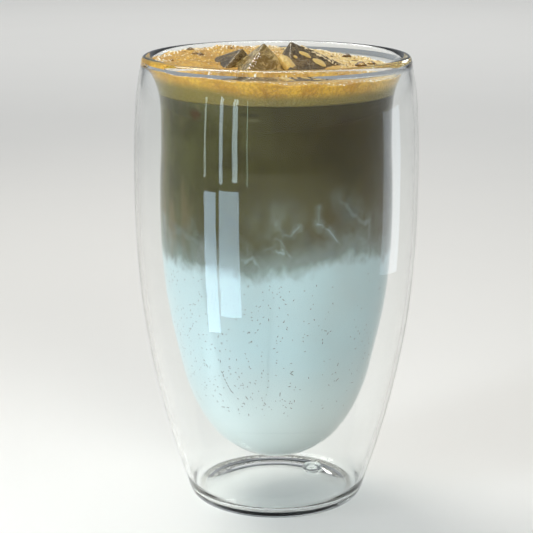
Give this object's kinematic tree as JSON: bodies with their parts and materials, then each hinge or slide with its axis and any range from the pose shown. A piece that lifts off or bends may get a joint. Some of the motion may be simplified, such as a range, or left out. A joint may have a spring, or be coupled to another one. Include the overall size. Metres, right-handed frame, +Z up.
{
  "type": "iced latte in a double-wall glass",
  "caption": "Iced latte in a tall clear double-wall tumbler, with milk, coffee and golden foam in layers and angular ice standing out of the foam.",
  "frame": {"origin": "middle of the base, on the surface that the glass stands on", "axes": "+Z up along the axis of the glass, -Y towards the viewer, +X to the viewer's right"},
  "size_m": [0.0906, 0.0906, 0.1498],
  "materials": {
    "clear_glass": "clear blown glass, polished",
    "clear_plug": "clear, slightly cloudy",
    "milk": "cold milk, bluish white, with fine brown specks",
    "coffee": "olive brown coffee, cloudy towards the milk",
    "foam": "golden coffee foam with fine bubbles",
    "ice": "wet ice, tinted brown by the coffee"
  },
  "bodies": {
    "root": {"glass": "clear_glass", "vent_plug": "clear_plug", "milk": "milk", "coffee": "coffee", "foam": "foam", "ice_left": "ice", "ice_middle": "ice", "ice_right": "ice"}
  },
  "joints": []
}
